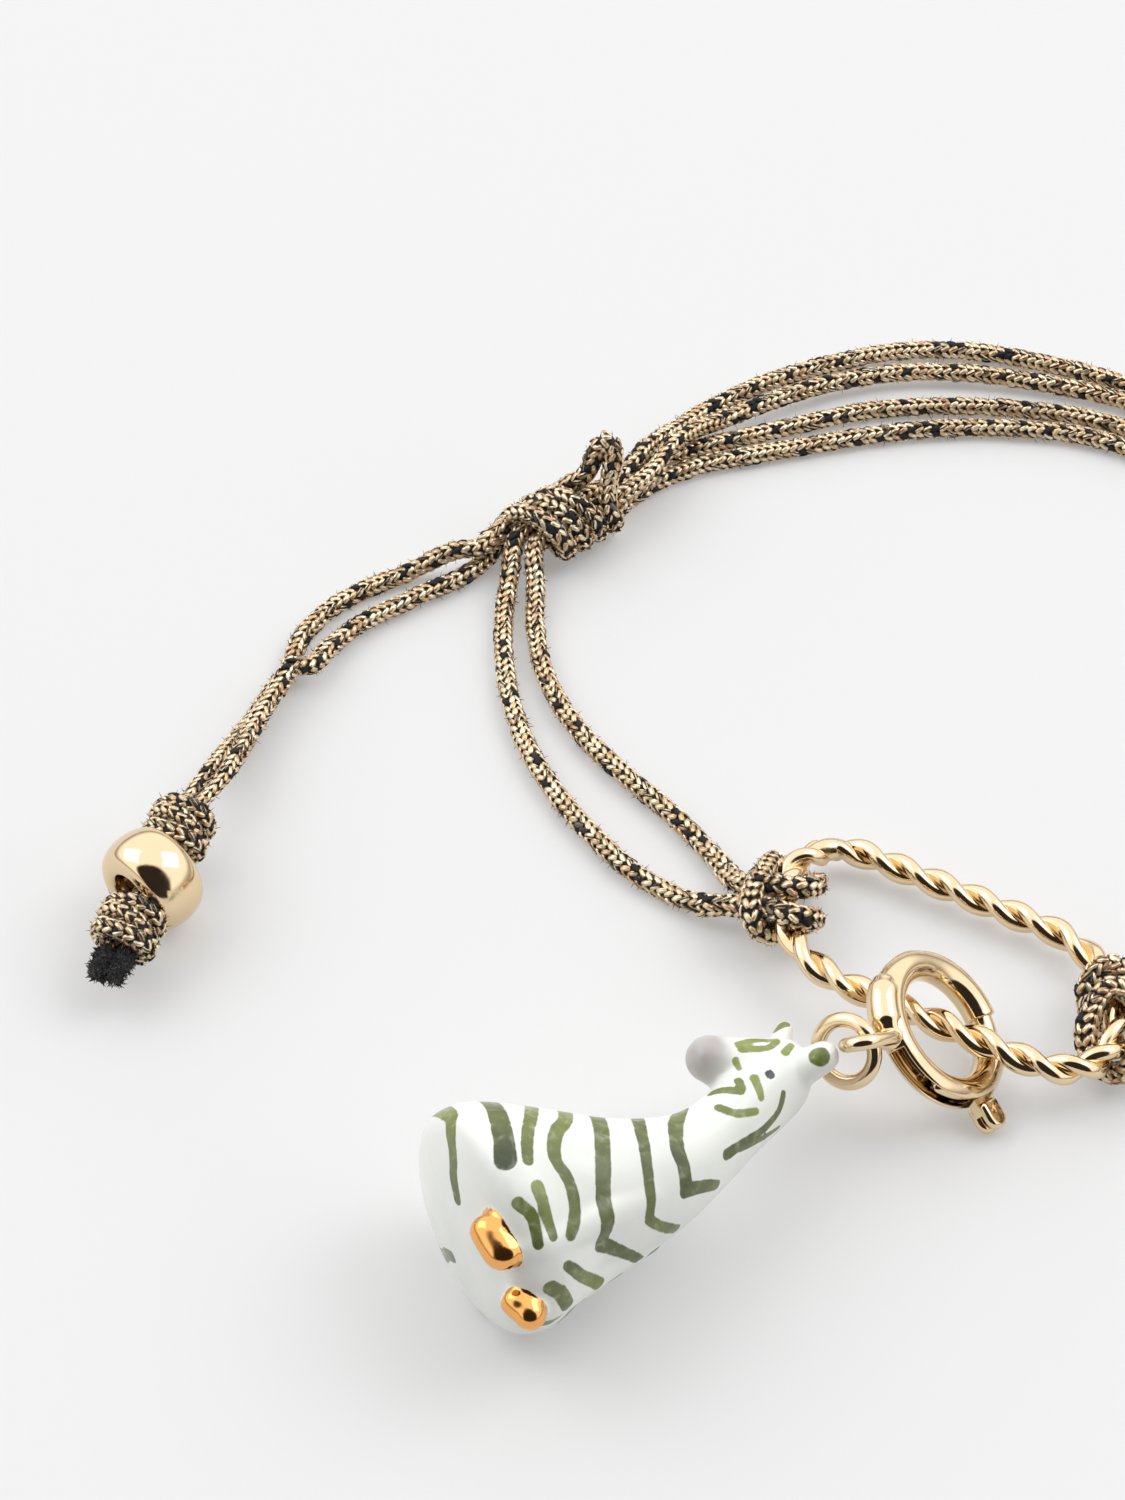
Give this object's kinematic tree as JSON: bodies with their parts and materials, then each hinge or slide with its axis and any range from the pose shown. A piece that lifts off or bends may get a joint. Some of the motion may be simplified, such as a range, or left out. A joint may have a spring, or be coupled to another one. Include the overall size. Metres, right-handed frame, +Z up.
{
  "type": "cord bracelet",
  "caption": "Knitted cord loop with sliding knots and beaded ends, joined by an oval twisted link that carries a spring ring clasp and a seated zebra charm.",
  "frame": {"origin": "middle of the whole outline, on the surface that the bracelet lies on", "axes": "+X along the bracelet's width from one beaded end to the other, +Y from the link to the back of the loop, +Z up from the surface"},
  "size_m": [0.1011, 0.0787, 0.012],
  "materials": {
    "cord": "knitted cord of dark yarn and pale gold metallic yarn",
    "gold": "polished plate in a pale warm gold",
    "porcelain": "glazed white ceramic with hand-painted green stripes"
  },
  "bodies": {
    "bracelet": {"rope_link": "gold", "larks_head_left": "cord", "larks_head_right": "cord", "cord_left_outer": "cord", "cord_left_inner": "cord", "cord_right_outer": "cord", "cord_right_inner": "cord", "sliding_knot_left": "cord", "sliding_knot_right": "cord", "tail_left_upper": "cord", "tail_left_lower": "cord", "tail_right_upper": "cord", "tail_right_lower": "cord", "stop_knot_left_a": "cord", "stop_knot_left_b": "cord", "stop_knot_right_a": "cord", "stop_knot_right_b": "cord", "bead_left": "gold", "bead_right": "gold", "clasp_body": "gold", "jump_ring": "gold", "charm_eye": "gold", "zebra_charm": "porcelain"},
    "bolt": {"clasp_bolt": "gold"}
  },
  "joints": [
    {"name": "bolt_slide", "type": "hinge", "parent": "bracelet", "child": "bolt", "pos_m": [-0.0045, -0.02013, 0.00355], "axis": [-0.6285, 0.1142, -0.7694], "range_deg": [0, 44], "stiffness_Nm_per_rad": 0.0003, "springref_deg": -22.92}
  ]
}
